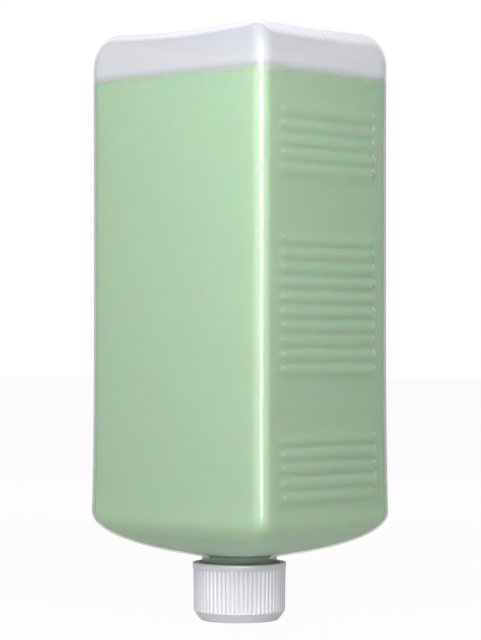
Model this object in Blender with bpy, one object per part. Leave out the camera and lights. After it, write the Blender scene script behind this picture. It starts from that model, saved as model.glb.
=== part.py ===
"""Hand soap refill pack: a rectangular blow-moulded bottle of liquid soap, standing on its ribbed screw cap.

The origin is the middle of the cap's flat end. +Z runs up to the bottle's base, +X to a ribbed narrow side
and -Y to the plain front. Every length is in metres.
"""

import math

import bmesh
import bpy

MM = 0.001
CLEARANCE = 0.3 * MM  # between pieces that touch on the real pack
CUTTER_OVERRUN = 2.0 * MM  # how far a cutting shape reaches past what it cuts

# Bottle body
BODY_WIDTH = 88.0 * MM  # along X, at the waist
BODY_DEPTH = 72.4 * MM  # along Y, at the waist
EDGE_RADIUS = 5.3 * MM  # the four upright edges
WALL_HEIGHT = 165.5 * MM  # upright walls, between the shoulder and the base's rounding
WALL = 1.0 * MM
SHOULDER_FLARE = 0.5 * MM  # the walls stand out this much where they reach the shoulder
BASE_FLARE = 0.12 * MM
WAIST_SHARE = 0.5  # of the wall's height

# Bottle shoulder
SHOULDER_HEIGHT = 16.5 * MM
SHOULDER_DROP = 0.48  # exponents of the shoulder's curve: a tight edge, then a gentle dome
SHOULDER_DOME = 1.25

# Bottle base, which faces up
BASE_ROUNDING_HEIGHT = 13.0 * MM
SIDE_ROUNDING = 9.5 * MM  # the base's edge lies this far in from the narrow sides
FRONT_ROUNDING = 7.0 * MM  # and this far in from the front and back
BASE_CORNER_RADIUS = 2.4 * MM  # in plan, at the four feet
FRONT_ARCH = 1.4 * MM  # the base dips this much between the feet
SIDE_ARCH = 0.6 * MM
ARCH_FADE = 8  # exponent: how fast the dip dies away inwards from the edge
PANEL_MARGIN = 8.5 * MM  # from the feet to the sunk panel
PANEL_DEPTH = 3.0 * MM
PANEL_SLOPE_STEPS = (1.0, 0.6, 0.3)  # shares of the way in to the panel
SEAM_GROOVE_WIDTH = 2.4 * MM  # where the mould halves part across the base's edge
SEAM_GROOVE_DEPTH = 0.75 * MM

# Grip ribs on both narrow sides
RIB_GROUPS = (5, 10, 5)
RIB_PITCH = 5.2 * MM
RIB_WIDTH = 4.7 * MM
RIB_HEIGHT = 0.45 * MM
RIB_LENGTH = 52.6 * MM
RIB_END = 1.5 * MM  # length of the steep rounded end
RIB_END_SIZES = ((0.0, 0.25), (0.33, 0.8), (1.0, 1.0))  # share of that length, share of the rib's section
RIB_SUNK = 0.5 * MM  # how far a rib reaches into its wall
TOP_RIB_BELOW_BASE = 32.4 * MM
LOW_RIB_ABOVE_SHOULDER = 7.7 * MM

# Bottle neck
NECK_RADIUS = 13.2 * MM
NECK_BORE = 10.9 * MM
COLLAR_RADIUS = 14.0 * MM
COLLAR_HEIGHT = 5.0 * MM
NECK_SHOWING = 2.4 * MM  # bare neck between the shoulder and the cap's rim
LIP = 0.4 * MM  # bevel around the mouth
BORE_LEAD = 1.0 * MM  # the bore widens this much where it meets the shoulder
BORE_LEAD_HEIGHT = 1.4 * MM

# Screw thread, right-handed, single start
PITCH = 4.2 * MM
NECK_THREAD_RADIUS = 14.5 * MM
NECK_THREAD_ROOT = 2.5 * MM
NECK_THREAD_CREST = 1.0 * MM
NECK_THREAD_TURNS = 1.75
NECK_THREAD_START = 2.2 * MM  # from the mouth to the middle of the ridge
CAP_THREAD_ROOT = 2.2 * MM
CAP_THREAD_CREST = 0.8 * MM
CAP_THREAD_TURNS = 1.5
THREAD_SUNK = 0.4 * MM  # how far a ridge reaches into its wall
THREAD_RUN_OUT = 40.0  # degrees over which a ridge dies away
THREAD_END_RISE = 0.2  # share of the ridge's height that is left at its end
THREAD_CLEARANCE = 0.36 * MM  # between the cap's ridge and the neck

# Screw cap
CAP_HEIGHT = 21.5 * MM
CAP_END_RADIUS = 14.2 * MM  # flat end
CAP_END_ROUND = 0.4 * MM  # width of the round at the flat's edge
CAP_END_RISE = 0.25 * MM  # its height
CAP_CHAMFER = 3.4 * MM  # height of the sloping edge above the flat end
CAP_LOWER_RADIUS = 17.05 * MM
CAP_UPPER_RADIUS = 17.25 * MM
CAP_RIM_RADIUS = 17.48 * MM
CAP_RIM_HEIGHT = 2.1 * MM
CAP_RIM_BORE = 15.3 * MM
CAP_RIM_BORE_DEPTH = 4.0 * MM
CAP_END_WALL = 1.1 * MM
CAP_RIB_COUNT = 60
CAP_RIB_DEPTH = 0.45 * MM
CAP_RIB_END = 0.7 * MM
CAP_RIM_STEP = 0.1 * MM  # height of the ledge over the ribs
CAP_RIM_BEVEL = 0.35 * MM

# Sealing disc in the cap
LINER_THICKNESS = 0.7 * MM
LINER_EDGE_GAP = 0.5 * MM

# Soap
SOAP_BELOW_BASE = 17.4 * MM

# Facets
SIDE_STEPS = 3  # along half of a narrow side
FRONT_STEPS = 4  # along half of the front
CORNER_STEPS = 5
RING_POINTS = 4 * (SIDE_STEPS + CORNER_STEPS + FRONT_STEPS)
SHOULDER_STEPS = 8
SHOULDER_CROWDING = 2.2  # sections lie closer together at the tight edge
BASE_STEPS = 5
WALL_LEVELS = (0.0, 0.09, 0.24, 0.5, 1.0)  # shares of the wall's height, upwards
THREAD_STEPS = 36  # in a turn
RIB_ARC_STEPS = 4
POINTS_PER_CAP_RIB = 3

# Heights that follow from the sizes above
LINER_LOW = CAP_END_WALL + CLEARANCE
LINER_HIGH = LINER_LOW + LINER_THICKNESS
MOUTH = LINER_HIGH + CLEARANCE
NECK_TOP = CAP_HEIGHT + NECK_SHOWING
WALL_LOW = NECK_TOP + SHOULDER_HEIGHT
WALL_HIGH = WALL_LOW + WALL_HEIGHT
BASE = WALL_HIGH + BASE_ROUNDING_HEIGHT
SOAP_LEVEL = BASE - SOAP_BELOW_BASE
TOP_RIB = BASE - TOP_RIB_BELOW_BASE
RIB_GROUP_GAPS = TOP_RIB - WALL_LOW - LOW_RIB_ABOVE_SHOULDER - RIB_PITCH * (sum(RIB_GROUPS) - len(RIB_GROUPS))
RIB_GROUP_GAP = RIB_GROUP_GAPS / (len(RIB_GROUPS) - 1)
CAP_BORE = NECK_THREAD_RADIUS + CLEARANCE
CAP_THREAD_RADIUS = NECK_RADIUS + THREAD_CLEARANCE
SHOULDER_REACH = math.hypot(BODY_WIDTH, BODY_DEPTH) / 2 - COLLAR_RADIUS


def clear_scene():
    for item in list(bpy.data.objects):
        bpy.data.objects.remove(item, do_unlink=True)


def material(name, colour, roughness):
    made = bpy.data.materials.new(name)
    made.use_nodes = True
    shader = made.node_tree.nodes["Principled BSDF"]
    shader.inputs["Base Color"].default_value = (*colour, 1.0)
    shader.inputs["Roughness"].default_value = roughness
    return made


def mix(a, b, share):
    return a + (b - a) * share


def circle(radius, count=RING_POINTS):
    """Points of a circle, anticlockwise from +X."""
    turn = 2 * math.pi / count
    return [(radius * math.cos(turn * i), radius * math.sin(turn * i)) for i in range(count)]


def rounded_rectangle(half_x, half_y, radius):
    """Points of a rounded rectangle, anticlockwise from the middle of its +X side, a quarter at a time."""
    straight_x = half_x - radius
    straight_y = half_y - radius
    first = [(half_x, straight_y * i / SIDE_STEPS) for i in range(SIDE_STEPS)]
    for i in range(CORNER_STEPS + 1):
        angle = math.radians(90 * i / CORNER_STEPS)
        first.append((straight_x + radius * math.cos(angle), straight_y + radius * math.sin(angle)))
    first += [(straight_x * (1 - i / FRONT_STEPS), half_y) for i in range(1, FRONT_STEPS)]
    second = [(0.0, half_y)] + [(-x, y) for x, y in reversed(first[1:])]
    half = first + second
    return half + [(-x, -y) for x, y in half]


def at_height(points, z):
    return [(x, y, z) for x, y in points]


def skin(mesh, rings):
    """Join closed rings of equal count, one after another, and close both ends."""
    rows = [[mesh.verts.new(point) for point in ring] for ring in rings]
    for lower, upper in zip(rows, rows[1:]):
        for i in range(len(lower)):
            j = (i + 1) % len(lower)
            mesh.faces.new((lower[i], lower[j], upper[j], upper[i]))
    mesh.faces.new(rows[0])
    mesh.faces.new(rows[-1])


def new_object(name, mesh, finish=None):
    """An object from a bmesh whose faces are turned outwards."""
    bmesh.ops.recalc_face_normals(mesh, faces=mesh.faces)
    data = bpy.data.meshes.new(name)
    mesh.to_mesh(data)
    mesh.free()
    made = bpy.data.objects.new(name, data)
    bpy.context.scene.collection.objects.link(made)
    if finish is not None:
        data.materials.append(finish)
        data.shade_smooth()
        data.set_sharp_from_angle(angle=math.radians(35))
    return made


def combine(target, tool, operation):
    """Join a helper shape to the target, or cut it out, and keep the helper as a guide."""
    tool.hide_render = True
    tool.display_type = "WIRE"
    step = target.modifiers.new(tool.name, "BOOLEAN")
    step.operation = operation
    step.object = tool


def wall_flare(share):
    """How far the walls stand out from the waist at a share of their height."""
    if share < WAIST_SHARE:
        return SHOULDER_FLARE * (1 - share / WAIST_SHARE) ** 3
    return BASE_FLARE * ((share - WAIST_SHARE) / (1 - WAIST_SHARE)) ** 2


def wall_ring(share, inset):
    """Section of the upright walls, moved inwards by the inset."""
    out = wall_flare(share) - inset
    points = rounded_rectangle(BODY_WIDTH / 2 + out, BODY_DEPTH / 2 + out, EDGE_RADIUS - inset)
    return at_height(points, mix(WALL_LOW, WALL_HIGH, share))


def shoulder_drop(share):
    """Height over the neck's top at a share of the way in from the wall to the neck."""
    return SHOULDER_HEIGHT * (1 - share**SHOULDER_DROP) ** SHOULDER_DOME


def shoulder_ring(step, inset):
    """Section of the shoulder, between the walls' outline and the neck, moved inwards by the inset."""
    share = (step / SHOULDER_STEPS) ** SHOULDER_CROWDING
    nudge = 0.02 * share
    before = share - nudge
    after = min(share + nudge, 1.0)
    run = (after - before) * SHOULDER_REACH
    drop = shoulder_drop(before) - shoulder_drop(after)
    slope = math.atan2(drop, run)
    sideways = inset * math.sin(slope)
    out = wall_flare(0.0) - sideways
    body = rounded_rectangle(BODY_WIDTH / 2 + out, BODY_DEPTH / 2 + out, EDGE_RADIUS - sideways)
    neck = circle(COLLAR_RADIUS - sideways)
    points = [(mix(bx, nx, share), mix(by, ny, share)) for (bx, by), (nx, ny) in zip(body, neck)]
    return at_height(points, NECK_TOP + shoulder_drop(share) + inset * math.cos(slope))


def base_arch(x, y, half_x, half_y):
    """How far the base dips between its feet at a point of its outline."""
    front = FRONT_ARCH * (1 - (x / half_x) ** 2) * abs(y / half_y) ** ARCH_FADE
    side = SIDE_ARCH * (1 - (y / half_y) ** 2) * abs(x / half_x) ** ARCH_FADE
    return front + side


def base_ring(step, inset):
    """Section of the rounding between the walls and the feet, moved inwards by the inset."""
    angle = math.radians(90 * step / BASE_STEPS)
    around = 1 - math.cos(angle)
    half_x = BODY_WIDTH / 2 + BASE_FLARE - mix(inset, SIDE_ROUNDING, around)
    half_y = BODY_DEPTH / 2 + BASE_FLARE - mix(inset, FRONT_ROUNDING, around)
    corner = mix(EDGE_RADIUS, BASE_CORNER_RADIUS, around) - inset
    level = BASE - inset - (BASE_ROUNDING_HEIGHT - inset) * (1 - math.sin(angle))
    return [
        (x, y, level - base_arch(x, y, half_x, half_y) * math.sin(angle))
        for x, y in rounded_rectangle(half_x, half_y, corner)
    ]


def panel_ring(share, inset):
    """Section of the slope from the feet down to the sunk panel of the base."""
    pulled_in = PANEL_MARGIN * share - BASE_FLARE
    half_x = BODY_WIDTH / 2 - SIDE_ROUNDING - pulled_in
    half_y = BODY_DEPTH / 2 - FRONT_ROUNDING - pulled_in
    corner = mix(BASE_CORNER_RADIUS, EDGE_RADIUS, share)
    sunk = PANEL_DEPTH * (1 - math.cos(math.pi * share)) / 2
    return [
        (x, y, BASE - inset - sunk - base_arch(x, y, half_x, half_y) * (1 - share))
        for x, y in rounded_rectangle(half_x, half_y, corner)
    ]


def bottle_skin(inset):
    """Rings of the bottle's skin from the base down to the neck, moved inwards by the inset."""
    rings = [panel_ring(share, inset) for share in PANEL_SLOPE_STEPS]
    rings += [base_ring(step, inset) for step in range(BASE_STEPS, 0, -1)]
    rings += [wall_ring(share, inset) for share in reversed(WALL_LEVELS)]
    rings += [shoulder_ring(step, inset) for step in range(1, SHOULDER_STEPS + 1)]
    return rings


def bore_rings(inset, gap):
    """Rings from the inside of the shoulder down the neck's bore, with a gap to the bore's own wall."""
    lead = NECK_TOP + inset - BORE_LEAD_HEIGHT / 2
    radius = NECK_BORE - gap
    return [
        at_height(circle(radius + BORE_LEAD), lead),
        at_height(circle(radius), lead - BORE_LEAD_HEIGHT),
    ]


def neck_rings():
    """Rings of the neck's outside, from under the collar to the mouth."""
    collar_end = NECK_TOP - COLLAR_HEIGHT
    step = COLLAR_RADIUS - NECK_RADIUS
    return [
        at_height(circle(COLLAR_RADIUS), collar_end),
        at_height(circle(NECK_RADIUS), collar_end - step),
        at_height(circle(NECK_RADIUS), MOUTH + LIP),
        at_height(circle(NECK_RADIUS - LIP), MOUTH),
    ]


def ridge(name, sunk_radius, crest_radius, root_width, crest_width, start, turns):
    """A thread's ridge as a closed helical bar that dies away at both ends."""
    mesh = bmesh.new()
    steps = round(turns * THREAD_STEPS)
    rings = []
    for i in range(steps + 1):
        degrees = 360 * i / THREAD_STEPS
        to_end = min(degrees, 360 * steps / THREAD_STEPS - degrees)
        rise = mix(THREAD_END_RISE, 1.0, min(to_end / THREAD_RUN_OUT, 1.0))
        crest = mix(sunk_radius, crest_radius, rise)
        width = mix(root_width, crest_width, rise)
        angle = math.radians(degrees)
        middle = start + PITCH * degrees / 360
        section = (
            (sunk_radius, -root_width / 2),
            (sunk_radius, root_width / 2),
            (crest, width / 2),
            (crest, -width / 2),
        )
        rings.append([(r * math.cos(angle), r * math.sin(angle), middle + dz) for r, dz in section])
    skin(mesh, rings)
    return new_object(name, mesh)


def rib_heights():
    """Heights of the grip ribs' middles, from the base down."""
    height = TOP_RIB
    heights = []
    for count in RIB_GROUPS:
        heights += [height - RIB_PITCH * i for i in range(count)]
        height = heights[-1] - RIB_GROUP_GAP
    return heights


def rib_pads():
    """All the grip ribs, as low rounded bars sunk a little into both narrow walls."""
    mesh = bmesh.new()
    half = RIB_LENGTH / 2
    stations = [(RIB_END * along - half, size) for along, size in RIB_END_SIZES]
    stations += [(-y, size) for y, size in reversed(stations)]
    for side in (-1, 1):
        for height in rib_heights():
            face = BODY_WIDTH / 2 + wall_flare((height - WALL_LOW) / WALL_HEIGHT)
            rings = []
            for y, size in stations:
                arc = []
                for i in range(RIB_ARC_STEPS + 1):
                    across = -1 + 2 * i / RIB_ARC_STEPS
                    out = face + RIB_HEIGHT * size * (1 - across**2)
                    arc.append((side * out, y, height + RIB_WIDTH / 2 * size * across))
                back = face - RIB_SUNK
                arc.append((side * back, y, arc[-1][2]))
                arc.append((side * back, y, arc[0][2]))
                rings.append(arc)
            skin(mesh, rings)
    return new_object("rib_pads", mesh)


def seam_groove():
    """A V bar that cuts the mould seam's groove into the base's edge."""
    mesh = bmesh.new()
    level = BASE - SIDE_ARCH
    top = level + CUTTER_OVERRUN
    spread = SEAM_GROOVE_WIDTH / 2 * (1 + CUTTER_OVERRUN / SEAM_GROOVE_DEPTH)
    section = ((0.0, level - SEAM_GROOVE_DEPTH), (spread, top), (-spread, top))
    rings = [[(x, y, z) for y, z in section] for x in (-BODY_WIDTH, BODY_WIDTH)]
    skin(mesh, rings)
    return new_object("seam_groove", mesh)


def make_bottle():
    """One blown piece: an open-mouthed shell with its feet, grip ribs, shoulder, neck and thread."""
    finish = material("natural_polythene", (0.80, 0.84, 0.82), 0.35)
    mesh = bmesh.new()
    lip_bore = [
        at_height(circle(NECK_BORE + LIP), MOUTH),
        at_height(circle(NECK_BORE), MOUTH + LIP),
    ]
    inside = bottle_skin(WALL) + bore_rings(WALL, 0.0)
    skin(mesh, bottle_skin(0.0) + neck_rings() + lip_bore + list(reversed(inside)))
    bottle = new_object("bottle", mesh, finish)
    thread = ridge(
        "neck_thread",
        NECK_RADIUS - THREAD_SUNK,
        NECK_THREAD_RADIUS,
        NECK_THREAD_ROOT,
        NECK_THREAD_CREST,
        MOUTH + NECK_THREAD_START,
        NECK_THREAD_TURNS,
    )
    combine(bottle, thread, "UNION")
    combine(bottle, rib_pads(), "UNION")
    combine(bottle, seam_groove(), "DIFFERENCE")
    return bottle


def make_soap():
    """The soap, which fills the bottle from the cap's liner up to a level surface."""
    finish = material("green_soap", (0.53, 0.74, 0.57), 0.2)
    inset = WALL + CLEARANCE
    top_share = (SOAP_LEVEL - WALL_LOW) / WALL_HEIGHT
    mesh = bmesh.new()
    rings = [wall_ring(share, inset) for share in (top_share, *reversed(WALL_LEVELS[:-1]))]
    rings += [shoulder_ring(step, inset) for step in range(1, SHOULDER_STEPS + 1)]
    rings += bore_rings(inset, CLEARANCE)
    rings.append(at_height(circle(NECK_BORE - CLEARANCE), LINER_HIGH + CLEARANCE))
    skin(mesh, rings)
    return new_object("soap_fill", mesh, finish)


def cap_ring(crest, valley, z):
    """Section of the cap's skirt: flat-topped ribs with a narrow groove between each two."""
    count = CAP_RIB_COUNT * POINTS_PER_CAP_RIB
    radii = [valley if i % POINTS_PER_CAP_RIB == 0 else crest for i in range(count)]
    return [(r * x, r * y, z) for r, (x, y) in zip(radii, circle(1.0, count))]


def make_cap():
    """The screw cap: ribbed skirt, plain rim, bevelled end and inner thread."""
    finish = material("white_cap_plastic", (0.86, 0.86, 0.88), 0.4)
    ribs_low = CAP_CHAMFER + CAP_RIB_END
    ribs_high = CAP_HEIGHT - CAP_RIM_HEIGHT
    lower_valley = CAP_LOWER_RADIUS - CAP_RIB_DEPTH
    upper_valley = CAP_UPPER_RADIUS - CAP_RIB_DEPTH
    outside = [
        cap_ring(CAP_END_RADIUS, CAP_END_RADIUS, 0.0),
        cap_ring(CAP_END_RADIUS + CAP_END_ROUND, CAP_END_RADIUS + CAP_END_ROUND, CAP_END_RISE),
        cap_ring(lower_valley, lower_valley, CAP_CHAMFER),
        cap_ring(CAP_LOWER_RADIUS, lower_valley, ribs_low),
        cap_ring(CAP_UPPER_RADIUS, upper_valley, ribs_high - CAP_RIM_STEP),
        cap_ring(CAP_RIM_RADIUS, CAP_RIM_RADIUS, ribs_high),
        cap_ring(CAP_RIM_RADIUS, CAP_RIM_RADIUS, CAP_HEIGHT - CAP_RIM_BEVEL),
        cap_ring(CAP_RIM_RADIUS - CAP_RIM_BEVEL, CAP_RIM_RADIUS - CAP_RIM_BEVEL, CAP_HEIGHT),
    ]
    rim_bore_end = CAP_HEIGHT - CAP_RIM_BORE_DEPTH
    mesh = bmesh.new()
    skin(mesh, outside)
    shell = new_object("screw_cap", mesh, finish)
    mesh = bmesh.new()
    skin(
        mesh,
        [
            at_height(circle(CAP_BORE), CAP_END_WALL),
            at_height(circle(CAP_BORE), rim_bore_end - (CAP_RIM_BORE - CAP_BORE)),
            at_height(circle(CAP_RIM_BORE), rim_bore_end),
            at_height(circle(CAP_RIM_BORE), CAP_HEIGHT + CUTTER_OVERRUN),
        ],
    )
    combine(shell, new_object("cap_hollow", mesh), "DIFFERENCE")
    half_widths = (NECK_THREAD_ROOT + CAP_THREAD_ROOT + NECK_THREAD_CREST + CAP_THREAD_CREST) / 4
    thread = ridge(
        "cap_thread",
        CAP_BORE + THREAD_SUNK,
        CAP_THREAD_RADIUS,
        CAP_THREAD_ROOT,
        CAP_THREAD_CREST,
        MOUTH + NECK_THREAD_START + half_widths + CLEARANCE,
        CAP_THREAD_TURNS,
    )
    combine(shell, thread, "UNION")
    return shell


def make_liner():
    """The soft disc that the cap presses on the mouth."""
    finish = material("liner_foam", (0.90, 0.90, 0.88), 0.7)
    mesh = bmesh.new()
    outline = circle(CAP_BORE - LINER_EDGE_GAP)
    skin(mesh, [at_height(outline, LINER_LOW), at_height(outline, LINER_HIGH)])
    return new_object("cap_liner", mesh, finish)


def main():
    clear_scene()
    make_bottle()
    make_soap()
    make_cap()
    make_liner()


main()
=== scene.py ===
"""Looks of the hand soap refill pack: a milky bottle full of green soap, standing on its white screw cap.

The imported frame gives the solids, the bodies and the joints. Three of the solids are replaced by finer skins.
Their form is the same, but the wall is thinner, and small beads end the ribs. The fourth solid, the hidden
sealing disc, keeps its mesh and gets its material. Lengths are metres.
"""

import math

import bmesh
import bpy
from bpy.props import FloatProperty, FloatVectorProperty, IntProperty, PointerProperty
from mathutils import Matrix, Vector


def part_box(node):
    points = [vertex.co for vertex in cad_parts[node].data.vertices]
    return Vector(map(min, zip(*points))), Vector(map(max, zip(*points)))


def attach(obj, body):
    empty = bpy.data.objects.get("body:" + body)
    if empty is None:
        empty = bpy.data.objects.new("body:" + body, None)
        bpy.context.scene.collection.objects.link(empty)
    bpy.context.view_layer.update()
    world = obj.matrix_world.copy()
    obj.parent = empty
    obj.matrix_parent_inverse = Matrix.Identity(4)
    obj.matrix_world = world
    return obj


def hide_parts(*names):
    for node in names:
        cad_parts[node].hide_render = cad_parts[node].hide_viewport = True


bl_info = {
    "name": "Soap refill pack",
    "version": (1, 0, 0),
    "blender": (4, 5, 0),
    "location": "View3D > Sidebar > Soap refill",
    "description": "Builds the bottle, soap, screw cap and studio of a hand soap refill pack",
    "category": "Add Mesh",
}

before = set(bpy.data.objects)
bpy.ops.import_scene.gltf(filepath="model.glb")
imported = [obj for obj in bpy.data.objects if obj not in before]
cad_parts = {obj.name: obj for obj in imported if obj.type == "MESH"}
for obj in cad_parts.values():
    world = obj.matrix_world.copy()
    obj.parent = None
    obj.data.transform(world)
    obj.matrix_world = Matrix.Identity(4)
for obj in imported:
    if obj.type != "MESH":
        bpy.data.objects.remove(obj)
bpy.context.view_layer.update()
BOTTLE_LOW, BOTTLE_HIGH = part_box("bottle")
CAP_LOW, CAP_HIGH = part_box("screw_cap")
SOAP_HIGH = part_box("soap_fill")[1]
LINER_LOW, LINER_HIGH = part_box("cap_liner")

MM = 0.001
CAP_HEIGHT = CAP_HIGH.z - CAP_LOW.z
MOUTH = BOTTLE_LOW.z
SHOULDER_EDGE = 40 * MM
SHOULDER_BLEND = 5 * MM
BASE = BOTTLE_HIGH.z


class BottleSizes(bpy.types.PropertyGroup):
    """Sizes of the blown bottle."""

    width: FloatProperty(
        name="Width",
        description="Between the ribbed narrow sides, at the waist",
        default=88.0 * MM,
        unit="LENGTH",
    )
    depth: FloatProperty(
        name="Depth",
        description="From the plain front to the back, at the waist",
        default=72.4 * MM,
        unit="LENGTH",
    )
    edge_radius: FloatProperty(
        name="Edge radius", description="Radius of the four upright edges", default=5.3 * MM, unit="LENGTH"
    )
    wall: FloatProperty(
        name="Wall", description="Thickness of the blown wall", default=0.6 * MM, unit="LENGTH"
    )
    base_height: FloatProperty(
        name="Base rounding height",
        description="Height of the rounding between the walls and the feet",
        default=13.0 * MM,
        unit="LENGTH",
    )
    side_rounding: FloatProperty(
        name="Side rounding",
        description="How far the feet lie in from the narrow sides",
        default=9.5 * MM,
        unit="LENGTH",
    )
    front_rounding: FloatProperty(
        name="Front rounding",
        description="How far the feet lie in from the front and back",
        default=7.0 * MM,
        unit="LENGTH",
    )
    front_arch: FloatProperty(
        name="Front arch",
        description="How far the base dips between the feet on the front and back",
        default=1.4 * MM,
        unit="LENGTH",
    )
    side_arch: FloatProperty(
        name="Side arch",
        description="How far the base dips between the feet on the narrow sides",
        default=0.6 * MM,
        unit="LENGTH",
    )
    panel_depth: FloatProperty(
        name="Panel depth", description="How deep the base's panel is sunk", default=3.0 * MM, unit="LENGTH"
    )
    groove_depth: FloatProperty(
        name="Seam groove depth",
        description="Depth of the notch where the mould seam crosses the base's edge",
        default=0.75 * MM,
        unit="LENGTH",
    )
    shoulder_height: FloatProperty(
        name="Shoulder height",
        description="From the neck's top to the upright walls",
        default=16.5 * MM,
        unit="LENGTH",
    )
    neck_showing: FloatProperty(
        name="Neck showing",
        description="Bare neck between the cap's rim and the shoulder",
        default=2.4 * MM,
        unit="LENGTH",
    )
    thread_pitch: FloatProperty(
        name="Thread pitch",
        description="Rise of the screw thread in one turn",
        default=4.2 * MM,
        unit="LENGTH",
    )


class RibSizes(bpy.types.PropertyGroup):
    """Sizes of the grip ribs on the narrow sides."""

    end_groups: IntProperty(
        name="End groups", description="Ribs in the top and bottom groups", default=5, min=1
    )
    middle_group: IntProperty(name="Middle group", description="Ribs in the middle group", default=10, min=1)
    pitch: FloatProperty(
        name="Pitch", description="Between two ribs of a group", default=5.2 * MM, unit="LENGTH"
    )
    gap: FloatProperty(name="Gap", description="Between two groups", default=25.0 * MM, unit="LENGTH")
    width: FloatProperty(name="Width", description="Width of one rib", default=4.7 * MM, unit="LENGTH")
    height: FloatProperty(
        name="Height", description="How far a rib stands out", default=0.45 * MM, unit="LENGTH"
    )
    length: FloatProperty(name="Length", description="Length of one rib", default=52.6 * MM, unit="LENGTH")
    end_length: FloatProperty(
        name="End length", description="Length of a rib's rounded end", default=2.0 * MM, unit="LENGTH"
    )
    bead_radius: FloatProperty(
        name="Bead radius", description="Radius of the bead at a rib's end", default=1.0 * MM, unit="LENGTH"
    )
    bead_height: FloatProperty(
        name="Bead height", description="How far the bead stands out", default=0.95 * MM, unit="LENGTH"
    )
    below_base: FloatProperty(
        name="Below base", description="From the feet down to the first rib", default=32.4 * MM, unit="LENGTH"
    )


class CapSizes(bpy.types.PropertyGroup):
    """Sizes of the screw cap."""

    ribs: IntProperty(name="Ribs", description="Grip ribs around the cap", default=60, min=12)
    rib_depth: FloatProperty(
        name="Rib depth",
        description="Depth of the grooves between the ribs",
        default=0.45 * MM,
        unit="LENGTH",
    )
    end_radius: FloatProperty(
        name="End radius", description="Radius of the flat end", default=14.2 * MM, unit="LENGTH"
    )
    end_round: FloatProperty(
        name="End round",
        description="Width of the round at the flat end's edge",
        default=0.4 * MM,
        unit="LENGTH",
    )
    end_rise: FloatProperty(
        name="End rise", description="Height of that round", default=0.25 * MM, unit="LENGTH"
    )
    chamfer: FloatProperty(
        name="Chamfer height",
        description="Height of the slope above the flat end",
        default=3.4 * MM,
        unit="LENGTH",
    )
    lower_radius: FloatProperty(
        name="Lower radius",
        description="Over the ribs, at their lower end",
        default=17.05 * MM,
        unit="LENGTH",
    )
    upper_radius: FloatProperty(
        name="Upper radius", description="Over the ribs, under the rim", default=17.25 * MM, unit="LENGTH"
    )
    rim_radius: FloatProperty(
        name="Rim radius", description="Of the plain rim", default=17.48 * MM, unit="LENGTH"
    )
    rim_height: FloatProperty(
        name="Rim height", description="Of the plain rim", default=2.1 * MM, unit="LENGTH"
    )


class Finish(bpy.types.PropertyGroup):
    """Colours of the pack."""

    plastic: FloatVectorProperty(
        name="Natural plastic",
        description="Colour of the milky bottle wall",
        subtype="COLOR",
        size=3,
        default=(0.78, 0.79, 0.845),
    )
    plastic_on_soap: FloatVectorProperty(
        name="Plastic on soap",
        description="Colour that the milky wall takes from the soap behind it",
        subtype="COLOR",
        size=3,
        default=(0.55, 0.65, 0.54),
    )
    soap: FloatVectorProperty(
        name="Soap", description="Colour of the liquid", subtype="COLOR", size=3, default=(0.54, 0.76, 0.54)
    )
    cap: FloatVectorProperty(
        name="Cap", description="Colour of the screw cap", subtype="COLOR", size=3, default=(0.74, 0.73, 0.79)
    )
    haze_on_soap: FloatProperty(
        name="Haze on soap",
        description="How much each skin of the wall hides where soap touches it",
        subtype="FACTOR",
        default=0.18,
        min=0.0,
        max=1.0,
    )
    haze_on_air: FloatProperty(
        name="Haze on air",
        description="How much each skin of the wall hides around the headspace",
        subtype="FACTOR",
        default=0.5,
        min=0.0,
        max=1.0,
    )
    edge_haze: FloatProperty(
        name="Edge haze",
        description="How much a skin hides at a slant, where sight runs a long way through the cloudy wall",
        subtype="FACTOR",
        default=0.97,
        min=0.0,
        max=1.0,
    )
    shoulder_haze: FloatProperty(
        name="Shoulder haze",
        description="The same on the shoulder, which is clearer",
        subtype="FACTOR",
        default=0.3,
        min=0.0,
        max=1.0,
    )
    neck_haze: FloatProperty(
        name="Neck haze",
        description="How much the thick skin of the neck hides",
        subtype="FACTOR",
        default=0.6,
        min=0.0,
        max=1.0,
    )
    wall_gloss: FloatProperty(
        name="Wall gloss", description="Coat on the walls", subtype="FACTOR", default=0.5, min=0.0, max=1.0
    )
    shoulder_gloss: FloatProperty(
        name="Shoulder gloss",
        description="Coat on the shoulder",
        subtype="FACTOR",
        default=0.03,
        min=0.0,
        max=1.0,
    )
    blur: FloatProperty(
        name="Blur",
        description="Half height of the soft line at the soap's level",
        default=3.0 * MM,
        unit="LENGTH",
    )


class Studio(bpy.types.PropertyGroup):
    """Camera and light."""

    turn: FloatProperty(
        name="Turn",
        description="How far the camera stands round from the plain front to the ribbed side",
        default=math.radians(42.654),
        subtype="ANGLE",
    )
    distance: FloatProperty(
        name="Distance", description="From the pack's axis to the camera", default=0.92385, unit="LENGTH"
    )
    eye_height: FloatProperty(name="Eye height", description="Of the camera", default=0.10105, unit="LENGTH")
    tilt: FloatProperty(
        name="Tilt", description="How far the camera looks up", default=math.radians(0.67), subtype="ANGLE"
    )
    focal: FloatProperty(
        name="Focal length", description="On a 36 mm long side, in millimetres", default=138.79
    )
    key_power: FloatProperty(name="Key power", description="Of the large soft light, in watts", default=3.1)
    strip_power: FloatProperty(
        name="Strip power",
        description="Of the strip light that only reflections show, in watts",
        default=40.0,
    )
    fill_power: FloatProperty(
        name="Fill power", description="Of the light that fills the far sides, in watts", default=5.0
    )
    room_light: FloatProperty(name="Room light", description="Strength of the even light", default=0.22)


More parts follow.
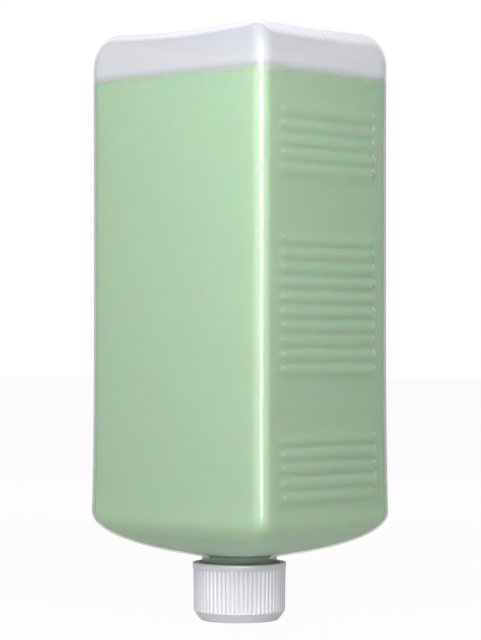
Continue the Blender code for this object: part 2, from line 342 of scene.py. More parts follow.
# Section of the bottle. A column runs from 0 at the middle of a narrow side to 12 at the middle of the front,
# and the neck's circle turns evenly with it.
SIDE_END = 3.0
CORNER_END = 8.0
QUARTER = 12.0
COLLAR_RADIUS = 14.0 * MM
NECK_RADIUS = 13.2 * MM
NECK_BORE = 10.9 * MM
COLLAR_HEIGHT = 5.0 * MM
THREAD_RADIUS = 14.5 * MM
THREAD_ROOT = 2.5 * MM
THREAD_CREST = 1.0 * MM
THREAD_TURNS = 1.75
THREAD_START = 2.2 * MM
CAP_THREAD_ROOT = 2.2 * MM
CAP_THREAD_CREST = 0.8 * MM
CAP_THREAD_TURNS = 1.5
CAP_THREAD_RADIUS = 13.56 * MM
THREAD_RUN_OUT = 40.0
CLEARANCE = 0.3 * MM
SOAP_GAP = 0.05 * MM
INNER_RELIEF = 0.2
NECK_EDGE = CAP_HEIGHT + 3 * MM
NECK_BLEND = 1 * MM
SLANT_START = 0.33
SLANT_FULL = 0.62
FINE_RIB = (0.12, 0.24, 0.36, 0.46, 0.7, 1.0)
PLAIN_RIB = (0.35, 0.7, 1.0)
LIP = 0.4 * MM
SHOULDER_FLARE = 0.5 * MM
BASE_FLARE = 0.12 * MM
BASE_CORNER_RADIUS = 2.4 * MM
PANEL_MARGIN = 8.5 * MM
BORE_LEAD = 1.0 * MM
BORE_LEAD_HEIGHT = 1.4 * MM


def mix(a, b, share):
    return a + (b - a) * share


def quarter_columns(side, corner, front):
    """Column numbers of a quarter, from stations on the side and steps of the corner and the front."""
    columns = [SIDE_END * share for share in side]
    columns += [mix(SIDE_END, CORNER_END, i / corner) for i in range(corner)]
    columns += [mix(CORNER_END, QUARTER, i / front) for i in range(front)]
    return columns


def full_columns(quarter):
    """The same all the way round, as pairs of a column number and the signs of its x and y."""
    there = [(u, 1, 1) for u in quarter]
    back = [(u, -1, 1) for u in [QUARTER] + quarter[:0:-1]]
    return there + back + [(u, -x, -y) for u, x, y in there + back]


def outline_point(column, half_x, half_y, radius):
    """A point of a rounded rectangle in its first quarter."""
    straight_x = half_x - radius
    straight_y = half_y - radius
    if column <= SIDE_END:
        return half_x, straight_y * column / SIDE_END
    if column <= CORNER_END:
        angle = math.radians(90 * (column - SIDE_END) / (CORNER_END - SIDE_END))
        return straight_x + radius * math.cos(angle), straight_y + radius * math.sin(angle)
    return straight_x * (QUARTER - column) / (QUARTER - CORNER_END), half_y


def circle_point(column, radius):
    angle = math.radians(90 * column / QUARTER)
    return radius * math.cos(angle), radius * math.sin(angle)


class BottleForm:
    """The bottle's sections, shared by its outer skin, its inner skin and the soap."""

    def __init__(self, sizes, ribs):
        self.half_x = sizes.width / 2
        self.half_y = sizes.depth / 2
        self.radius = sizes.edge_radius
        self.sizes = sizes
        self.ribs = ribs
        self.neck_top = CAP_HEIGHT + sizes.neck_showing
        self.wall_low = self.neck_top + sizes.shoulder_height
        self.wall_high = BASE - sizes.base_height
        self.reach = math.hypot(sizes.width, sizes.depth) / 2 - COLLAR_RADIUS
        middle = BASE - ribs.below_base
        self.rib_heights = []
        for count in (ribs.end_groups, ribs.middle_group, ribs.end_groups):
            self.rib_heights += [middle - ribs.pitch * i for i in range(count)]
            middle = self.rib_heights[-1] - ribs.gap

    def flare(self, share):
        if share < 0.5:
            return SHOULDER_FLARE * (1 - share / 0.5) ** 3
        return BASE_FLARE * ((share - 0.5) / 0.5) ** 2

    def rib_rise(self, y, z):
        """How far the grip ribs and the beads at their ends stand out of the narrow sides at a point."""
        from_end = self.ribs.length / 2 - abs(y)
        if from_end <= 0:
            return 0.0
        size = 1.0
        if from_end < self.ribs.end_length:
            share = from_end / self.ribs.end_length
            size = share * share * (3 - 2 * share)
        half = self.ribs.width / 2 * mix(0.35, 1.0, size)
        bead = self.ribs.bead_radius
        for height in self.rib_heights:
            across = abs(z - height) / half
            if across < 1:
                rise = self.ribs.height * size * (1 - across**2)
                away = math.hypot(from_end - bead, z - height) / bead
                if away < 1:
                    rise = max(rise, self.ribs.bead_height * math.sqrt(1 - away**2))
                return rise
        return 0.0

    def rib_columns(self, corner, front):
        """Columns that lie close together at the ribs' ends."""
        half = self.ribs.length / 2
        straight = self.half_y - self.radius
        stations = [0.0, 0.6 * MM, 1.2 * MM, 2.0 * MM, 7.0 * MM, 14.0 * MM, 20.0 * MM]
        from_ends = (3.0, 2.3, 1.9, 1.6, 1.3, 1.0, 0.7, 0.45, 0.22, 0.08, 0.0, -0.4, -2.0)
        stations += [half - d * MM for d in from_ends]
        return full_columns(quarter_columns([s / straight for s in stations], corner, front))

    def rib_levels(self, steps):
        """Shares of the wall's height, downwards, that lie close together at the ribs."""
        levels = {self.wall_high, self.wall_high - 4 * MM, self.wall_high - 9 * MM, self.wall_low}
        for height in self.rib_heights:
            levels.add(height)
            levels.update(height + self.ribs.width / 2 * k for k in steps)
            levels.update(height - self.ribs.width / 2 * k for k in steps)
        lowest = min(levels - {self.wall_low})
        levels.update(mix(lowest, self.wall_low, i / 5) for i in range(1, 5))
        for upper, lower in zip(self.rib_heights, self.rib_heights[1:]):
            if upper - lower > self.ribs.pitch * 2:
                levels.update(mix(upper, lower, k) for k in (0.25, 0.5, 0.75))
        height = self.wall_high - self.wall_low
        return [(level - self.wall_low) / height for level in sorted(levels, reverse=True)]

    def wall_point(self, column, share, inset, relief):
        out = self.flare(share) - inset
        x, y = outline_point(column, self.half_x + out, self.half_y + out, self.radius - inset)
        z = mix(self.wall_low, self.wall_high, share)
        if relief > 0 and column < SIDE_END:
            x += self.rib_rise(y, z) * relief
        return x, y, z

    def shoulder_rise(self, share):
        return self.sizes.shoulder_height * (1 - share**0.48) ** 1.25

    def shoulder_point(self, column, share, inset):
        nudge = 0.02 * share
        before = share - nudge
        after = min(share + nudge, 1.0)
        run = (after - before) * self.reach
        slope = math.atan2(self.shoulder_rise(before) - self.shoulder_rise(after), run)
        sideways = inset * math.sin(slope)
        out = self.flare(0.0) - sideways
        bx, by = outline_point(column, self.half_x + out, self.half_y + out, self.radius - sideways)
        nx, ny = circle_point(column, COLLAR_RADIUS - sideways)
        z = self.neck_top + self.shoulder_rise(share) + inset * math.cos(slope)
        return mix(bx, nx, share), mix(by, ny, share), z

    def arch(self, x, y, half_x, half_y):
        front = self.sizes.front_arch * (1 - (x / half_x) ** 2) * abs(y / half_y) ** 8
        side = self.sizes.side_arch * (1 - (y / half_y) ** 2) * abs(x / half_x) ** 8
        return front + side

    def groove(self, x, y, half_x):
        """The V notch of the mould seam on the base's edge."""
        if abs(x) < half_x * 0.8:
            return 0.0
        return self.sizes.groove_depth * max(0.0, 1 - abs(y) / (1.2 * MM))

    def base_point(self, column, degrees, inset):
        angle = math.radians(degrees)
        around = 1 - math.cos(angle)
        half_x = self.half_x + BASE_FLARE - mix(inset, self.sizes.side_rounding, around)
        half_y = self.half_y + BASE_FLARE - mix(inset, self.sizes.front_rounding, around)
        corner = mix(self.radius, BASE_CORNER_RADIUS, around) - inset
        x, y = outline_point(column, half_x, half_y, corner)
        z = BASE - inset - (self.sizes.base_height - inset) * (1 - math.sin(angle))
        dip = self.arch(x, y, half_x, half_y) * math.sin(angle)
        if inset == 0.0:
            dip += self.groove(x, y, half_x) * math.sin(angle) ** 6
        return x, y, z - dip

    def panel_point(self, column, share, inset):
        pulled_in = PANEL_MARGIN * share - BASE_FLARE
        half_x = self.half_x - self.sizes.side_rounding - pulled_in
        half_y = self.half_y - self.sizes.front_rounding - pulled_in
        corner = mix(BASE_CORNER_RADIUS, self.radius, share)
        x, y = outline_point(column, half_x, half_y, corner)
        sunk = self.sizes.panel_depth * (1 - math.cos(math.pi * share)) / 2
        dip = self.arch(x, y, half_x, half_y) * (1 - share)
        if inset == 0.0:
            dip += self.groove(x, y, half_x) * max(0.0, 1 - share / 0.4)
        return x, y, BASE - inset - sunk - dip


def ring(columns, place):
    """A closed ring of points from a function of the column number."""
    points = []
    for column, sign_x, sign_y in columns:
        x, y, z = place(column)
        points.append(Vector((x * sign_x, y * sign_y, z)))
    return points


def ring_angle(point):
    return math.degrees(math.atan2(point.y, point.x)) % 360


def thread_rise(angle, z, start, pitch, turns, root, crest):
    """Share of a helical ridge's height at an angle in degrees and a height."""
    best = 0.0
    for turn in range(int(turns) + 1):
        along = angle + 360 * turn
        if along > 360 * turns:
            break
        fade = min(along, 360 * turns - along) / THREAD_RUN_OUT
        away = abs(z - start - pitch * along / 360)
        side = (root / 2 - away) / ((root - crest) / 2)
        best = max(best, min(side, 1.0) * min(fade, 1.0))
    return best


def draw_out(rings):
    """A skin that starts as a circle and is extruded ring by ring, each ring moved to its section."""
    shape = bmesh.new()
    row = bmesh.ops.create_circle(shape, cap_ends=False, radius=1.0, segments=len(rings[0]))["verts"]
    edges = list(shape.edges)
    for vertex, point in zip(row, rings[0]):
        vertex.co = point
    first = row
    for points in rings[1:]:
        made = bmesh.ops.extrude_edge_only(shape, edges=edges)["geom"]
        fresh = {item for item in made if isinstance(item, bmesh.types.BMVert)}
        made_edges = [item for item in made if isinstance(item, bmesh.types.BMEdge)]
        edges = [edge for edge in made_edges if fresh.issuperset(edge.verts)]
        row = [next(e.other_vert(v) for e in v.link_edges if e.other_vert(v) in fresh) for v in row]
        for vertex, point in zip(row, points):
            vertex.co = point
    return shape, first, row


def close_ring(shape, row):
    """Close a ring of vertices with one flat face."""
    bmesh.ops.contextual_create(shape, geom=row)


def finish_piece(name, shape, finish, node, body, sharp=40):
    """Make an object of a shape, turn its faces outwards and put it in place of its solid."""
    bmesh.ops.recalc_face_normals(shape, faces=shape.faces)
    mesh = bpy.data.meshes.new(name)
    shape.to_mesh(mesh)
    shape.free()
    mesh.materials.append(finish)
    mesh.shade_smooth()
    mesh.set_sharp_from_angle(angle=math.radians(sharp))
    piece = bpy.data.objects.new(name, mesh)
    bpy.context.scene.collection.objects.link(piece)
    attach(piece, body)
    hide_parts(node)
    return piece


def new_group(name, inputs, outputs):
    group = bpy.data.node_groups.new(name, "ShaderNodeTree")
    for label, kind, default in inputs:
        socket = group.interface.new_socket(name=label, in_out="INPUT", socket_type=kind)
        if default is not None:
            socket.default_value = default
    for label, kind in outputs:
        group.interface.new_socket(name=label, in_out="OUTPUT", socket_type=kind)
    return group


def mottle_group():
    """Soft clouds in a colour and a fine unevenness for the bump, as moulded plastic has."""
    name = "plastic_mottle"
    if name in bpy.data.node_groups:
        return bpy.data.node_groups[name]
    group = new_group(
        name,
        [
            ("Color", "NodeSocketColor", (0.8, 0.8, 0.8, 1.0)),
            ("Cloud Size", "NodeSocketFloat", 40.0),
            ("Cloud Depth", "NodeSocketFloat", 0.05),
            ("Grain Size", "NodeSocketFloat", 900.0),
            ("Roughness", "NodeSocketFloat", 0.35),
            ("Roughness Spread", "NodeSocketFloat", 0.05),
        ],
        [("Color", "NodeSocketColor"), ("Roughness", "NodeSocketFloat"), ("Height", "NodeSocketFloat")],
    )
    nodes, links = group.nodes, group.links
    entry = nodes.new("NodeGroupInput")
    leave = nodes.new("NodeGroupOutput")
    place = nodes.new("ShaderNodeTexCoord")
    cloud = nodes.new("ShaderNodeTexNoise")
    cloud.inputs["Detail"].default_value = 3.0
    links.new(place.outputs["Object"], cloud.inputs["Vector"])
    links.new(entry.outputs["Cloud Size"], cloud.inputs["Scale"])
    centred = nodes.new("ShaderNodeMath")
    centred.operation = "SUBTRACT"
    centred.inputs[1].default_value = 0.5
    links.new(cloud.outputs["Fac"], centred.inputs[0])
    deep = nodes.new("ShaderNodeMath")
    deep.operation = "MULTIPLY_ADD"
    deep.inputs[2].default_value = 1.0
    links.new(centred.outputs[0], deep.inputs[0])
    links.new(entry.outputs["Cloud Depth"], deep.inputs[1])
    tint = nodes.new("ShaderNodeVectorMath")
    tint.operation = "SCALE"
    links.new(entry.outputs["Color"], tint.inputs[0])
    links.new(deep.outputs[0], tint.inputs["Scale"])
    links.new(tint.outputs[0], leave.inputs["Color"])
    rough = nodes.new("ShaderNodeMath")
    rough.operation = "MULTIPLY_ADD"
    links.new(centred.outputs[0], rough.inputs[0])
    links.new(entry.outputs["Roughness Spread"], rough.inputs[1])
    links.new(entry.outputs["Roughness"], rough.inputs[2])
    links.new(rough.outputs[0], leave.inputs["Roughness"])
    grain = nodes.new("ShaderNodeTexNoise")
    grain.inputs["Detail"].default_value = 2.0
    links.new(place.outputs["Object"], grain.inputs["Vector"])
    links.new(entry.outputs["Grain Size"], grain.inputs["Scale"])
    links.new(grain.outputs["Fac"], leave.inputs["Height"])
    return group


def plastic_material(name, colour, settings, shader_values, bump):
    """A Principled material whose colour, roughness and bump come from the mottle group."""
    made = bpy.data.materials.new(name)
    made.use_nodes = True
    nodes, links = made.node_tree.nodes, made.node_tree.links
    shader = nodes["Principled BSDF"]
    for label, value in shader_values.items():
        shader.inputs[label].default_value = value
    mottle = nodes.new("ShaderNodeGroup")
    mottle.node_tree = mottle_group()
    mottle.inputs["Color"].default_value = (*colour, 1.0)
    for label, value in settings.items():
        mottle.inputs[label].default_value = value
    links.new(mottle.outputs["Color"], shader.inputs["Base Color"])
    links.new(mottle.outputs["Roughness"], shader.inputs["Roughness"])
    uneven = nodes.new("ShaderNodeBump")
    uneven.inputs["Strength"].default_value = bump[0]
    uneven.inputs["Distance"].default_value = bump[1]
    links.new(mottle.outputs["Height"], uneven.inputs["Height"])
    links.new(uneven.outputs["Normal"], shader.inputs["Normal"])
    return made


def level_group():
    """A value that changes softly where the soap's level crosses the surface."""
    name = "soap_level"
    if name in bpy.data.node_groups:
        return bpy.data.node_groups[name]
    group = new_group(
        name,
        [
            ("Level", "NodeSocketFloat", 0.2),
            ("Half Height", "NodeSocketFloat", 0.001),
            ("Below", "NodeSocketFloat", 1.0),
            ("Above", "NodeSocketFloat", 0.0),
        ],
        [("Value", "NodeSocketFloat")],
    )
    nodes, links = group.nodes, group.links
    entry = nodes.new("NodeGroupInput")
    leave = nodes.new("NodeGroupOutput")
    place = nodes.new("ShaderNodeTexCoord")
    apart = nodes.new("ShaderNodeSeparateXYZ")
    links.new(place.outputs["Object"], apart.inputs[0])
    change = nodes.new("ShaderNodeMapRange")
    change.interpolation_type = "SMOOTHSTEP"
    for operation, socket in (("SUBTRACT", "From Min"), ("ADD", "From Max")):
        edge = nodes.new("ShaderNodeMath")
        edge.operation = operation
        links.new(entry.outputs["Level"], edge.inputs[0])
        links.new(entry.outputs["Half Height"], edge.inputs[1])
        links.new(edge.outputs[0], change.inputs[socket])
    links.new(apart.outputs["Z"], change.inputs["Value"])
    links.new(entry.outputs["Below"], change.inputs["To Min"])
    links.new(entry.outputs["Above"], change.inputs["To Max"])
    links.new(change.outputs["Result"], leave.inputs["Value"])
    return group


def level_node(material, half_height, below, above):
    """The soap level group in a material, as the socket that it puts out."""
    made = material.node_tree.nodes.new("ShaderNodeGroup")
    made.node_tree = level_group()
    made.inputs["Level"].default_value = SOAP_HIGH.z
    made.inputs["Half Height"].default_value = half_height
    made.inputs["Below"].default_value = below
    made.inputs["Above"].default_value = above
    return made.outputs["Value"]


class REFILL_OT_bottle(bpy.types.Operator):
    """Build the milky bottle with its ribs, feet, shoulder, neck and thread"""

    bl_idname = "refill.bottle"
    bl_label = "Bottle"

    def execute(self, context):
        pack = context.scene
        form = BottleForm(pack.refill_bottle, pack.refill_ribs)
        finish = pack.refill_finish
        columns = form.rib_columns(14, 8)
        panel = (1.0, 0.8, 0.6, 0.4, 0.2, 0.1)
        outer = [ring(columns, lambda c, s=s: form.panel_point(c, s, 0.0)) for s in panel]
        for step in range(12):
            outer.append(ring(columns, lambda c, a=90 - 7.5 * step: form.base_point(c, a, 0.0)))
        levels = form.rib_levels(FINE_RIB)
        outer += [ring(columns, lambda c, s=s: form.wall_point(c, s, 0.0, 1.0)) for s in levels]
        shares = [(i / 26) ** 2.2 for i in range(1, 27)]
        outer += [ring(columns, lambda c, s=s: form.shoulder_point(c, s, 0.0)) for s in shares]
        outer += self.neck(columns, form)
        inset = form.sizes.wall
        inner = [ring(columns, lambda c, s=s: form.panel_point(c, s, inset)) for s in (1.0, 0.6, 0.3)]
        for step in range(7):
            inner.append(ring(columns, lambda c, a=90 - 90 * step / 7: form.base_point(c, a, inset)))
        levels = form.rib_levels(PLAIN_RIB)
        inner += [ring(columns, lambda c, s=s: form.wall_point(c, s, inset, INNER_RELIEF)) for s in levels]
        inner += [ring(columns, lambda c, s=s: form.shoulder_point(c, s, inset)) for s in shares[1::2]]
        lead = form.neck_top + inset - BORE_LEAD_HEIGHT / 2
        for radius, z in (
            (NECK_BORE + BORE_LEAD, lead),
            (NECK_BORE, lead - BORE_LEAD_HEIGHT),
            (NECK_BORE, MOUTH + LIP),
            (NECK_BORE + LIP, MOUTH),
        ):
            inner.append(ring(columns, lambda c, r=radius, h=z: (*circle_point(c, r), h)))
        shape, first, last = draw_out(outer + inner[::-1])
        close_ring(shape, first)
        close_ring(shape, last)
        milky = plastic_material(
            "milky_plastic",
            finish.plastic,
            {
                "Cloud Size": 28.0,
                "Cloud Depth": 0.05,
                "Grain Size": 420.0,
                "Roughness": 0.42,
                "Roughness Spread": 0.06,
            },
            {"IOR": 1.5, "Specular IOR Level": 0.1, "Coat Roughness": 0.07, "Coat IOR": 1.5},
            (0.12, 0.0002),
        )
        self.haze(milky, finish)
        finish_piece("bottle_shell", shape, milky, "bottle", "bottle", 50)
        return {"FINISHED"}

    def haze(self, material, finish):
        """Make the wall hide less where soap touches it, and more at a slant and on the thick neck.

        The wall is also tinted where soap touches it, and the shoulder is clearer and duller than the walls.
        """
        nodes, links = material.node_tree.nodes, material.node_tree.links
        share = level_node(material, finish.blur, finish.haze_on_soap, finish.haze_on_air)
        grazing = nodes.new("ShaderNodeLayerWeight")
        grazing.inputs["Blend"].default_value = 0.5
        along = nodes.new("ShaderNodeMapRange")
        along.interpolation_type = "SMOOTHSTEP"
        along.inputs["From Min"].default_value = SLANT_START
        along.inputs["From Max"].default_value = SLANT_FULL
        most = self.above_shoulder(material, finish.shoulder_haze, finish.edge_haze)
        links.new(most, along.inputs["To Max"])
        links.new(
            self.above_shoulder(material, finish.shoulder_gloss, finish.wall_gloss),
            nodes["Principled BSDF"].inputs["Coat Weight"],
        )
        links.new(grazing.outputs["Facing"], along.inputs["Value"])
        thick = level_node(material, NECK_BLEND, finish.neck_haze, 0.0)
        thick.node.inputs["Level"].default_value = NECK_EDGE
        more = thick
        for other in (share, along.outputs["Result"]):
            larger = nodes.new("ShaderNodeMath")
            larger.operation = "MAXIMUM"
            links.new(more, larger.inputs[0])
            links.new(other, larger.inputs[1])
            more = larger.outputs[0]
        links.new(more, nodes["Principled BSDF"].inputs["Alpha"])
        tint = nodes.new("ShaderNodeMix")
        tint.data_type = "RGBA"
        tint.inputs["A"].default_value = (*finish.plastic, 1.0)
        tint.inputs["B"].default_value = (*finish.plastic_on_soap, 1.0)
        links.new(level_node(material, finish.blur, 1.0, 0.0), tint.inputs["Factor"])
        links.new(tint.outputs["Result"], self.mottle_of(material).inputs["Color"])

    def above_shoulder(self, material, below, above):
        """A value that changes softly from the shoulder to the upright walls."""
        value = level_node(material, SHOULDER_BLEND, below, above)
        value.node.inputs["Level"].default_value = SHOULDER_EDGE
        return value

    def mottle_of(self, material):
        groups = [node for node in material.node_tree.nodes if node.type == "GROUP"]
        return next(node for node in groups if node.node_tree == mottle_group())

    def neck(self, columns, form):
        """Rings of the collar, the neck with its thread and the mouth."""
        collar_end = form.neck_top - COLLAR_HEIGHT
        rings = []
        for z in (form.neck_top - 1.2 * MM, collar_end):
            rings.append(ring(columns, lambda c, h=z: (*circle_point(c, COLLAR_RADIUS), h)))
        top = collar_end - (COLLAR_RADIUS - NECK_RADIUS)
        low = MOUTH + LIP
        steps = 44
        for i in range(steps + 1):
            z = mix(top, low, i / steps)
            plain = ring(columns, lambda c, h=z: (*circle_point(c, NECK_RADIUS), h))
            for point in plain:
                rise = thread_rise(
                    ring_angle(point),
                    z,
                    MOUTH + THREAD_START,
                    form.sizes.thread_pitch,
                    THREAD_TURNS,
                    THREAD_ROOT,
                    THREAD_CREST,
                )
                scale = 1 + rise * (THREAD_RADIUS / NECK_RADIUS - 1)
                point.x *= scale
                point.y *= scale
            rings.append(plain)
        rings.append(ring(columns, lambda c: (*circle_point(c, NECK_RADIUS - LIP), MOUTH)))
        return rings


class REFILL_OT_soap(bpy.types.Operator):
    """Build the green soap that fills the bottle up to its level"""

    bl_idname = "refill.soap"
    bl_label = "Soap"

    def execute(self, context):
        pack = context.scene
        form = BottleForm(pack.refill_bottle, pack.refill_ribs)
        finish = pack.refill_finish
        inset = form.sizes.wall + SOAP_GAP
        columns = form.rib_columns(12, 6)
        height = form.wall_high - form.wall_low
        surface = SOAP_HIGH.z + finish.blur / 2
        top_share = (surface - form.wall_low) / height
        rings = []
        for pulled_in in (2.0, 0.0):
            rings.append(
                ring(columns, lambda c, p=pulled_in * MM: form.wall_point(c, top_share, inset + p, 0.0))
            )
        levels = [s for s in form.rib_levels(PLAIN_RIB) if s < top_share]
        rings += [ring(columns, lambda c, s=s: form.wall_point(c, s, inset, INNER_RELIEF)) for s in levels]
        shares = [(i / 13) ** 2.2 for i in range(1, 14)]
        rings += [ring(columns, lambda c, s=s: form.shoulder_point(c, s, inset)) for s in shares]
        lead = form.neck_top + inset - BORE_LEAD_HEIGHT / 2
        bore = NECK_BORE - SOAP_GAP
        for radius, z in (
            (bore + BORE_LEAD, lead),
            (bore, lead - BORE_LEAD_HEIGHT),
            (bore, LINER_HIGH.z + CLEARANCE),
        ):
            rings.append(ring(columns, lambda c, r=radius, h=z: (*circle_point(c, r), h)))
        shape, first, last = draw_out(rings)
        close_ring(shape, first)
        close_ring(shape, last)
        liquid = plastic_material(
            "green_liquid_soap",
            finish.soap,
            {
                "Cloud Size": 18.0,
                "Cloud Depth": 0.06,
                "Grain Size": 60.0,
                "Roughness": 0.5,
                "Roughness Spread": 0.0,
            },
            {
                "Subsurface Weight": 1.0,
                "Subsurface Scale": 0.018,
                "IOR": 1.36,
                "Specular IOR Level": 0.1,
            },
            (0.0, 0.0001),
        )
        fade = level_node(liquid, finish.blur / 2, 1.0, 0.0)
        liquid.node_tree.links.new(fade, liquid.node_tree.nodes["Principled BSDF"].inputs["Alpha"])
        finish_piece("liquid_soap", shape, liquid, "soap_fill", "bottle", 50)
        return {"FINISHED"}


class REFILL_OT_cap(bpy.types.Operator):
    """Build the ribbed white screw cap with its inner thread"""

    bl_idname = "refill.cap"
    bl_label = "Screw cap"

    points_per_rib = 8
    groove_shape = (1.0, 0.62, 0.12, 0.0, 0.0, 0.0, 0.12, 0.62)

    def grooved(self, count, radius, depth, z):
        """A ring of the skirt, with a groove at every rib's joint."""
        points = []
        for i in range(count):
            angle = 2 * math.pi * i / count
            r = radius - depth * self.groove_shape[i % self.points_per_rib]
            points.append(Vector((r * math.cos(angle), r * math.sin(angle), z)))
        return points

    def bore(self, count, z, pitch):
        """A ring of the inner wall, with the thread's ridge."""
        radius = THREAD_RADIUS + CLEARANCE
        half_widths = (THREAD_ROOT + CAP_THREAD_ROOT + THREAD_CREST + CAP_THREAD_CREST) / 4
        start = MOUTH + THREAD_START + half_widths + CLEARANCE
        points = []
        for i in range(count):
            rise = thread_rise(
                360 * i / count, z, start, pitch, CAP_THREAD_TURNS, CAP_THREAD_ROOT, CAP_THREAD_CREST
            )
            r = mix(radius, CAP_THREAD_RADIUS, rise)
            angle = 2 * math.pi * i / count
            points.append(Vector((r * math.cos(angle), r * math.sin(angle), z)))
        return points

    def execute(self, context):
        pack = context.scene
        cap = pack.refill_cap
        count = cap.ribs * self.points_per_rib
        rim_low = CAP_HEIGHT - cap.rim_height
        top_low = rim_low - 0.25 * MM

        def side_radius(z):
            return mix(cap.lower_radius, cap.upper_radius, (z - cap.chamfer) / (rim_low - cap.chamfer))

        rings = [self.grooved(count, r, 0.0, z) for r, z in self.end_profile(cap)]
        for above, depth in ((0.0, 0.0), (0.25, 0.35), (0.5, 0.75), (0.8, 1.0), (1.3, 1.0)):
            z = cap.chamfer + above * MM
            rings.append(self.grooved(count, side_radius(z), cap.rib_depth * depth, z))
        for share in (0.5, 1.0):
            z = mix(cap.chamfer + 1.3 * MM, top_low - 0.35 * MM, share)
            rings.append(self.grooved(count, side_radius(z), cap.rib_depth, z))
        rings.append(self.grooved(count, side_radius(top_low), cap.rib_depth * 0.9, top_low))
        rings.append(self.grooved(count, cap.rim_radius - 0.12 * MM, 0.0, rim_low - 0.08 * MM))
        for inwards, down in ((0.0, -0.05), (0.0, 0.6), (0.04, 0.28), (0.16, 0.1), (0.34, 0.02), (0.55, 0.0)):
            z = rim_low + 0.05 * MM if down < 0 else CAP_HEIGHT - down * MM
            rings.append(self.grooved(count, cap.rim_radius - inwards * MM, 0.0, z))
        rim_bore = 15.3 * MM
        rim_bore_end = CAP_HEIGHT - 4.0 * MM
        for r, z in (
            (rim_bore + 0.25 * MM, CAP_HEIGHT),
            (rim_bore, CAP_HEIGHT - 0.25 * MM),
            (rim_bore, rim_bore_end),
        ):
            rings.append(self.grooved(count, r, 0.0, z))
        top = rim_bore_end - (rim_bore - THREAD_RADIUS - CLEARANCE)
        floor = LINER_LOW.z - CLEARANCE
        steps = 34
        pitch = pack.refill_bottle.thread_pitch
        rings += [self.bore(count, mix(top, floor, i / steps), pitch) for i in range(steps + 1)]
        shape, first, last = draw_out(rings)
        close_ring(shape, first)
        close_ring(shape, last)
        white = plastic_material(
            "white_cap_plastic",
            pack.refill_finish.cap,
            {
                "Cloud Size": 120.0,
                "Cloud Depth": 0.03,
                "Grain Size": 1500.0,
                "Roughness": 0.5,
                "Roughness Spread": 0.08,
            },
            {"IOR": 1.5, "Subsurface Weight": 0.15, "Subsurface Scale": 0.002},
            (0.15, 0.00008),
        )
        finish_piece("ribbed_cap", shape, white, "screw_cap", "cap", 55)
        return {"FINISHED"}

    def end_profile(self, cap):
        """Radius and height of the flat end, its rounded edge and the slope up to the skirt."""
        edge = cap.end_radius
        outer = edge + cap.end_round
        valley = cap.lower_radius - cap.rib_depth * 0.35
        return [
            (edge - cap.end_round, 0.0),
            (edge, 0.0),
            (mix(edge, outer, 0.6), cap.end_rise * 0.35),
            (outer, cap.end_rise),
            (mix(outer, valley, 0.5), mix(cap.end_rise, cap.chamfer, 0.44)),
            (mix(outer, valley, 0.88), mix(cap.end_rise, cap.chamfer, 0.86)),
        ]


class REFILL_OT_liner(bpy.types.Operator):
    """Give the sealing disc in the cap its foam finish"""

    bl_idname = "refill.liner"
    bl_label = "Sealing disc"

    def execute(self, context):
        foam = plastic_material(
            "liner_foam",
            (0.86, 0.86, 0.84),
            {
                "Cloud Size": 300.0,
                "Cloud Depth": 0.08,
                "Grain Size": 3000.0,
                "Roughness": 0.7,
                "Roughness Spread": 0.1,
            },
            {"IOR": 1.45},
            (0.5, 0.0001),
        )
        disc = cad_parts["cap_liner"]
        disc.data.materials.clear()
        disc.data.materials.append(foam)
        return {"FINISHED"}


def white_to_camera(tree, shader, strength, share):
    """Lighten what the camera, mirrors and clear plastic see of a stage surface or the room."""
    nodes, links = tree.nodes, tree.links
    path = nodes.new("ShaderNodeLightPath")
    seen = path.outputs["Is Camera Ray"]
    for label in ("Is Glossy Ray", "Is Transmission Ray"):
        either = nodes.new("ShaderNodeMath")
        either.operation = "MAXIMUM"
        links.new(seen, either.inputs[0])
        links.new(path.outputs[label], either.inputs[1])
        seen = either.outputs[0]
    amount = nodes.new("ShaderNodeMath")
    amount.operation = "MULTIPLY"
    amount.inputs[1].default_value = share
    links.new(seen, amount.inputs[0])
    bright = nodes.new("ShaderNodeBackground" if shader.type == "BACKGROUND" else "ShaderNodeEmission")
    bright.inputs["Color"].default_value = (1.0, 1.0, 1.0, 1.0)
    bright.inputs["Strength"].default_value = strength
    both = nodes.new("ShaderNodeMixShader")
    links.new(amount.outputs[0], both.inputs[0])
    links.new(shader.outputs[0], both.inputs[1])
    links.new(bright.outputs[0], both.inputs[2])
    return both


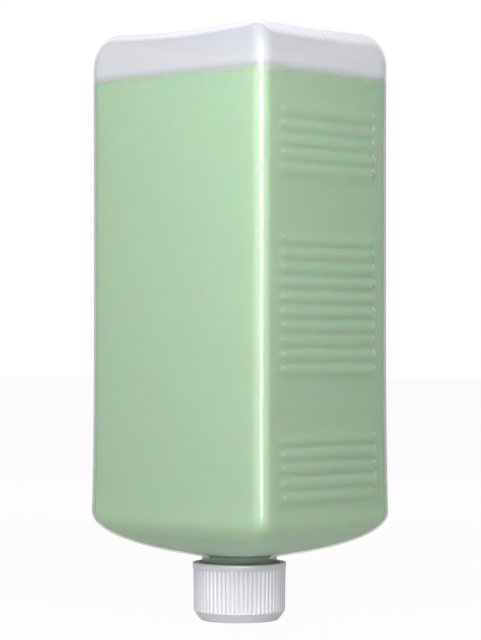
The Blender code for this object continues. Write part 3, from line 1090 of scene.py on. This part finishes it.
class REFILL_OT_studio(bpy.types.Operator):
    """Set up the pale floor, the soft lights and the camera"""

    bl_idname = "refill.studio"
    bl_label = "Studio"

    def execute(self, context):
        pack = context.scene
        studio = pack.refill_studio
        pack.view_settings.view_transform = "Standard"
        self.floor()
        self.room(pack, studio)
        self.area("key_light", studio.key_power, (0.4, 0.4), math.radians(38), math.radians(26), 0.5, 0.155)
        strip_turn = studio.turn + math.radians(5)
        strip = self.area(
            "strip_light", studio.strip_power, (0.4, 0.6), strip_turn, math.radians(8), 1.0, 0.115
        )
        strip.visible_diffuse = False
        strip.visible_transmission = False
        behind = studio.turn + math.radians(180)
        fill = self.area("back_fill", studio.fill_power, (1.0, 1.0), behind, math.radians(30), 0.9, 0.12)
        fill.visible_camera = False
        fill.visible_glossy = False
        self.camera(pack, studio)
        return {"FINISHED"}

    def floor(self):
        shape = bmesh.new()
        bmesh.ops.create_grid(shape, x_segments=1, y_segments=1, size=6.0)
        mesh = bpy.data.meshes.new("studio_floor")
        shape.to_mesh(mesh)
        shape.free()
        floor = bpy.data.objects.new("studio_floor", mesh)
        bpy.context.scene.collection.objects.link(floor)
        pale = bpy.data.materials.new("studio_floor")
        pale.use_nodes = True
        tree = pale.node_tree
        shader = tree.nodes["Principled BSDF"]
        shader.inputs["Base Color"].default_value = (0.6, 0.6, 0.6, 1.0)
        shader.inputs["Roughness"].default_value = 0.9
        both = white_to_camera(tree, shader, 1.0, 0.95)
        tree.links.new(both.outputs[0], tree.nodes["Material Output"].inputs["Surface"])
        mesh.materials.append(pale)

    def room(self, pack, studio):
        world = bpy.data.worlds.new("studio_room")
        world.use_nodes = True
        pack.world = world
        tree = world.node_tree
        shader = tree.nodes["Background"]
        shader.inputs["Color"].default_value = (1.0, 1.0, 1.0, 1.0)
        shader.inputs["Strength"].default_value = studio.room_light
        both = white_to_camera(tree, shader, 1.0, 1.0)
        tree.links.new(both.outputs[0], tree.nodes["World Output"].inputs["Surface"])

    def area(self, name, power, size, azimuth, elevation, distance, aim_height):
        """A rectangular light at an azimuth and elevation, turned to the pack."""
        data = bpy.data.lights.new(name, "AREA")
        data.shape = "RECTANGLE"
        data.size, data.size_y = size
        data.energy = power
        light = bpy.data.objects.new(name, data)
        bpy.context.scene.collection.objects.link(light)
        flat = math.cos(elevation) * distance
        light.location = (
            math.sin(azimuth) * flat,
            -math.cos(azimuth) * flat,
            aim_height + math.sin(elevation) * distance,
        )
        aim = Vector((0.0, 0.0, aim_height)) - light.location
        light.rotation_euler = aim.to_track_quat("-Z", "Y").to_euler()
        return light

    def camera(self, pack, studio):
        data = bpy.data.cameras.new("photo_camera")
        data.sensor_fit = "VERTICAL"
        data.sensor_height = 36.0
        data.lens = studio.focal
        data.shift_x = 1.025 / 640
        data.clip_start = 0.01
        camera = bpy.data.objects.new("photo_camera", data)
        bpy.context.scene.collection.objects.link(camera)
        camera.location = (
            math.sin(studio.turn) * studio.distance,
            -math.cos(studio.turn) * studio.distance,
            studio.eye_height,
        )
        camera.rotation_euler = (math.pi / 2 + studio.tilt, 0.0, studio.turn)
        pack.camera = camera


class REFILL_PT_panel(bpy.types.Panel):
    """Sizes, colours and build steps of the pack"""

    bl_idname = "REFILL_PT_panel"
    bl_label = "Soap refill pack"
    bl_space_type = "VIEW_3D"
    bl_region_type = "UI"
    bl_category = "Soap refill"

    def draw(self, context):
        pack = context.scene
        pieces = (pack.refill_bottle, pack.refill_ribs, pack.refill_cap)
        for group in (*pieces, pack.refill_finish, pack.refill_studio):
            box = self.layout.box()
            for label in group.__annotations__:
                box.prop(group, label)
        for step in STEPS:
            self.layout.operator(step.bl_idname)


STEPS = (REFILL_OT_bottle, REFILL_OT_soap, REFILL_OT_cap, REFILL_OT_liner, REFILL_OT_studio)
CLASSES = (BottleSizes, RibSizes, CapSizes, Finish, Studio, *STEPS, REFILL_PT_panel)


def register():
    for item in CLASSES:
        bpy.utils.register_class(item)
    bpy.types.Scene.refill_bottle = PointerProperty(type=BottleSizes)
    bpy.types.Scene.refill_ribs = PointerProperty(type=RibSizes)
    bpy.types.Scene.refill_cap = PointerProperty(type=CapSizes)
    bpy.types.Scene.refill_finish = PointerProperty(type=Finish)
    bpy.types.Scene.refill_studio = PointerProperty(type=Studio)


def unregister():
    for label in ("refill_bottle", "refill_ribs", "refill_cap", "refill_finish", "refill_studio"):
        delattr(bpy.types.Scene, label)
    for item in reversed(CLASSES):
        bpy.utils.unregister_class(item)


def main():
    register()
    bpy.ops.refill.bottle()
    bpy.ops.refill.soap()
    bpy.ops.refill.cap()
    bpy.ops.refill.liner()
    bpy.ops.refill.studio()


if __name__ == "__main__":
    main()
